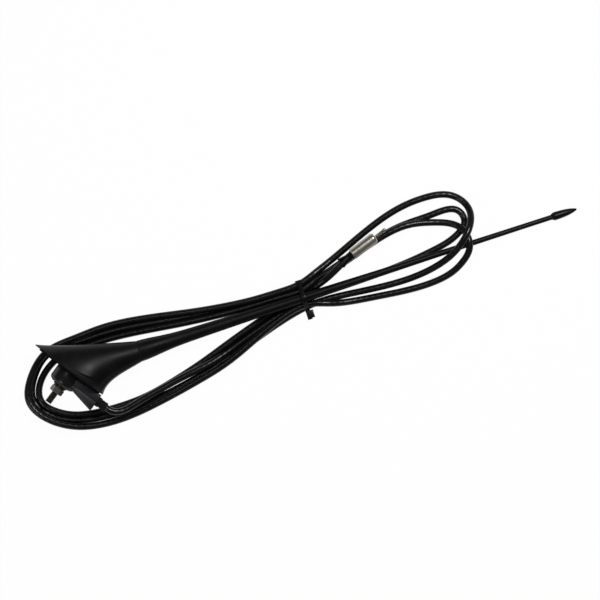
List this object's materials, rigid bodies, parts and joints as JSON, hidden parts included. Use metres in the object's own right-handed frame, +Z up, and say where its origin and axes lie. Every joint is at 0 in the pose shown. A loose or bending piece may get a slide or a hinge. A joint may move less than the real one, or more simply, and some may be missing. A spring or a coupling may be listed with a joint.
{
  "type": "car mast aerial",
  "caption": "Roof aerial: long tapered mast screwed into a raked teardrop base, with clamp boss and stud below and a lead coiled and tied along the mast.",
  "frame": {"origin": "on the table, under the middle of the aerial's own length and depth, measured without the lead and what is on it", "axes": "+X along the mast to its tip, seen from above; +Y across the mast on the table, towards the front lip of the base; +Z up from the table. The aerial lies on the side of its base and on its tip cap, as in the picture."},
  "size_m": [0.4892, 0.101, 0.042],
  "materials": {
    "cover_plastic": "satin moulded black plastic",
    "casting": "as cast, grey",
    "insulator_plastic": "plain natural nylon",
    "socket_brass": "machined",
    "wire_copper": "bare copper",
    "gasket_rubber": "matt black",
    "boss_plastic": "black, slightly worn",
    "boot_plastic": "dark grey, satin",
    "washer_steel": "plated, dulled",
    "nut_steel": "bright plated steel",
    "stud_steel": "plated, yellowed",
    "thread_steel": "plated",
    "rod_steel": "drawn wire",
    "mast_plastic": "black, satin",
    "cap_plastic": "black, satin",
    "tie_nylon": "black nylon",
    "lead_jacket": "black PVC, satin",
    "plug_nickel": "satin nickel",
    "pin_nickel": "nickel plated",
    "crimp_brass": "dark, browned"
  },
  "bodies": {
    "base": {"base_cover": "cover_plastic", "base_core": "casting", "socket_insulator": "insulator_plastic", "mast_socket": "socket_brass", "feed_wire": "wire_copper", "roof_gasket": "gasket_rubber", "clamp_boss": "boss_plastic", "flat_washer": "washer_steel", "spring_washer": "washer_steel", "mounting_nut": "nut_steel", "mounting_stud": "stud_steel", "cable_boot": "boot_plastic", "boot_cover": "boot_plastic", "strain_relief": "gasket_rubber", "cable_tie": "tie_nylon", "antenna_lead": "lead_jacket", "plug_sleeve": "plug_nickel", "plug_insulator": "insulator_plastic", "plug_pin": "pin_nickel", "plug_crimp": "crimp_brass"},
    "seal": {"mast_seal": "gasket_rubber"},
    "mast": {"mast_stud": "thread_steel", "mast_sheath": "mast_plastic", "mast_core": "rod_steel", "tip_cap": "cap_plastic"}
  },
  "joints": [
    {"name": "mast_rise", "type": "slide", "parent": "base", "child": "seal", "axis": [0.9992, 0, -0.0404], "range_m": [0, 0.0064]},
    {"name": "mast_turn", "type": "hinge", "parent": "seal", "child": "mast", "pos_m": [-0.2082, 0.00336, 0.02114], "axis": [0.9992, 0, -0.0404], "range_deg": [0, 2881]}
  ],
  "couplings": [
    {"joint": "mast_turn", "follows": "mast_rise", "rad_per_m": 7854}
  ]
}
